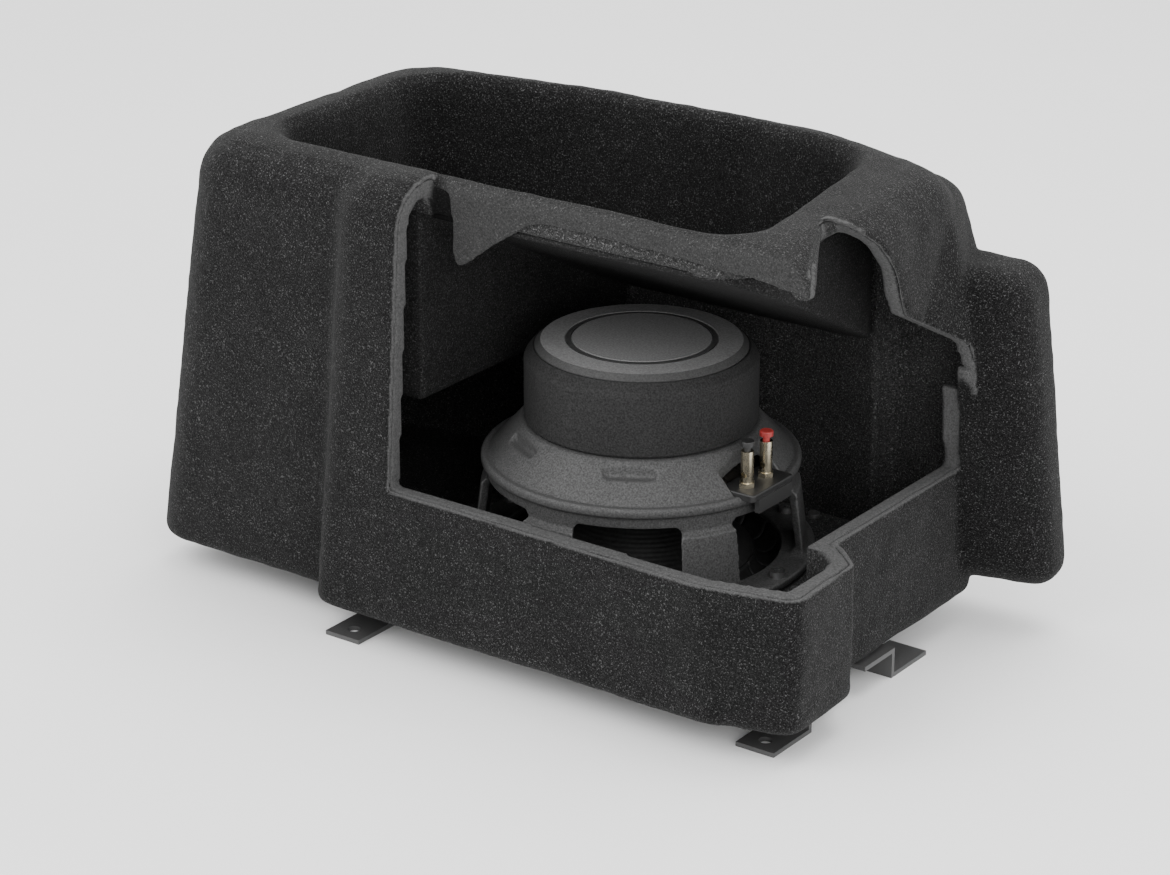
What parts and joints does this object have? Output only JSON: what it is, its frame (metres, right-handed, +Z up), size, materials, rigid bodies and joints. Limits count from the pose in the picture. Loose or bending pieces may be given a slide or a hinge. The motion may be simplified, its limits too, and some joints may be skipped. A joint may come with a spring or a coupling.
{
  "type": "powered car subwoofer",
  "caption": "Carpeted console-shaped vehicle subwoofer enclosure with a storage bin on top, cutaway window, down-firing woofer, plate amplifier and bolt-down feet.",
  "frame": {"origin": "on the floor under the middle of the whole object's bounding box", "axes": "+X along the long side towards the rear right bulge, +Y from the cutaway front to the back, +Z up"},
  "size_m": [0.5471, 0.2999, 0.303],
  "materials": {
    "carpet": "matte needle-felt automotive carpet, charcoal with fine lighter flecks",
    "shell": "moulded glass-fibre reinforced plastic, dark grey, satin",
    "board": "sanded medium density fibreboard",
    "black_steel": "black powder coat on steel",
    "screw_steel": "zinc plated steel",
    "cast_basket": "fine textured grey paint on cast aluminium",
    "gasket_rubber": "matte black rubber and foam",
    "cone_plastic": "black mineral-filled moulding, satin",
    "spider_cloth": "impregnated woven cloth, amber",
    "copper": "enamelled copper wire",
    "ferrite": "ground ferrite, dull dark grey",
    "cap_finish": "grey moulded cap, satin",
    "black_plastic": "black moulded plastic",
    "nickel": "nickel plated brass",
    "red_plastic": "red moulded plastic",
    "plate_aluminium": "black anodised aluminium",
    "circuit_board": "green solder mask on glass-epoxy board"
  },
  "bodies": {
    "enclosure": {"enclosure_shell": "shell", "carpet_cover": "carpet", "window_hem": "carpet", "storage_bin": "shell", "bin_carpet": "carpet", "baffle_board": "board", "board_screws": "screw_steel", "mounting_foot_front_left": "black_steel", "mounting_foot_front_right": "black_steel", "mounting_foot_rear_left": "black_steel", "mounting_foot_rear_right": "black_steel", "foot_bolts": "screw_steel", "driver_basket": "cast_basket", "driver_gasket": "gasket_rubber", "driver_screws": "screw_steel", "surround": "gasket_rubber", "spider": "spider_cloth", "top_plate": "screw_steel", "magnet_ring": "ferrite", "yoke": "screw_steel", "magnet_boot": "gasket_rubber", "magnet_cap": "cap_finish", "cap_ring": "black_plastic", "terminal_block": "black_plastic", "terminal_post_positive": "nickel", "terminal_post_negative": "nickel", "amp_gasket": "gasket_rubber", "amp_plate": "plate_aluminium", "amp_screws": "screw_steel", "amp_chassis": "black_steel", "amp_board": "circuit_board", "amp_capacitors": "black_plastic", "amp_transformer": "black_plastic", "amp_heatsink": "plate_aluminium", "power_terminal": "black_plastic", "power_screws": "screw_steel", "rca_sockets": "nickel", "fuse_holder": "black_plastic", "fuses": "red_plastic", "power_led": "red_plastic"},
    "cone_assembly": {"cone": "cone_plastic", "dust_cap": "cone_plastic", "coil_former": "cone_plastic", "coil_winding": "copper", "former_collar": "cone_plastic"},
    "positive_button": {"terminal_button_positive": "red_plastic"},
    "negative_button": {"terminal_button_negative": "black_plastic"},
    "gain": {"gain_knob": "black_plastic"},
    "crossover": {"crossover_knob": "black_plastic"},
    "boost": {"boost_knob": "black_plastic"},
    "phase": {"phase_switch": "black_plastic"},
    "input": {"input_switch": "black_plastic"}
  },
  "joints": [
    {"name": "cone_stroke", "type": "slide", "parent": "enclosure", "child": "cone_assembly", "axis": [0, 0, 1], "range_m": [-0.012, 0.012], "stiffness_N_per_m": 3600, "deforming": ["surround", "spider"]},
    {"name": "positive_button_press", "type": "slide", "parent": "enclosure", "child": "positive_button", "axis": [0, 0, -1], "range_m": [0, 0.003], "stiffness_N_per_m": 600},
    {"name": "negative_button_press", "type": "slide", "parent": "enclosure", "child": "negative_button", "axis": [0, 0, -1], "range_m": [0, 0.003], "stiffness_N_per_m": 600},
    {"name": "gain_turn", "type": "hinge", "parent": "enclosure", "child": "gain", "pos_m": [-0.2618, 0.034, 0.12129], "axis": [-0.9924, 0, 0.1227], "range_deg": [-150, 150]},
    {"name": "crossover_turn", "type": "hinge", "parent": "enclosure", "child": "crossover", "pos_m": [-0.2618, 0.002, 0.12129], "axis": [-0.9924, 0, 0.1227], "range_deg": [-150, 150]},
    {"name": "boost_turn", "type": "hinge", "parent": "enclosure", "child": "boost", "pos_m": [-0.2618, -0.03, 0.12129], "axis": [-0.9924, 0, 0.1227], "range_deg": [-150, 150]},
    {"name": "phase_slide", "type": "slide", "parent": "enclosure", "child": "phase", "axis": [0, -1, 0], "range_m": [0, 0.005]},
    {"name": "input_slide", "type": "slide", "parent": "enclosure", "child": "input", "axis": [0, -1, 0], "range_m": [0, 0.005]}
  ]
}
